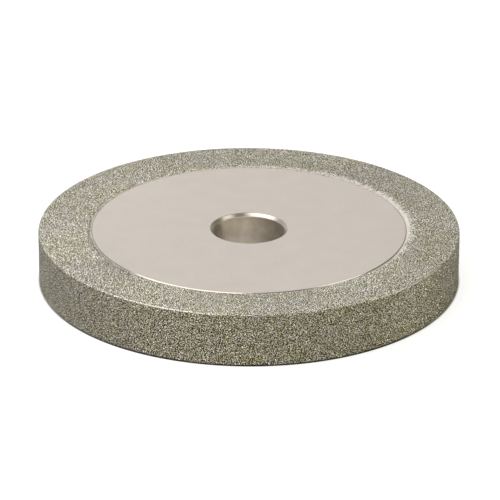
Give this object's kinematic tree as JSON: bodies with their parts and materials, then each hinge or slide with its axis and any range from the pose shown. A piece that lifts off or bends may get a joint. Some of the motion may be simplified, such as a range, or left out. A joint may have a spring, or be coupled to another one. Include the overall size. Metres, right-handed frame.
{
  "type": "diamond grinding wheel",
  "caption": "Flat disc-shaped diamond grinding wheel: a turned steel core with a plain arbor bore, and a nickel-bonded diamond coat on the rim and the outer band of both faces.",
  "frame": {"origin": "on the wheel's axis, level with its lower coated face", "axes": "+Z along the wheel's axis, up, from the lower coated face to the upper one; X and Y are any two radii at right angles"},
  "size_m": [0.15, 0.15, 0.019],
  "materials": {
    "core_steel": "fine turned steel under a thin satin nickel flash",
    "diamond_grit": "coarse nickel-bonded diamond grit, grey with a yellow-green cast, glinting",
    "bond_nickel": "bright uneven plated nickel with few grains"
  },
  "bodies": {
    "root": {"core_disc": "core_steel", "rim_grit_coat": "diamond_grit", "upper_grit_coat": "diamond_grit", "lower_grit_coat": "diamond_grit", "upper_nickel_margin": "bond_nickel", "lower_nickel_margin": "bond_nickel"}
  },
  "joints": []
}
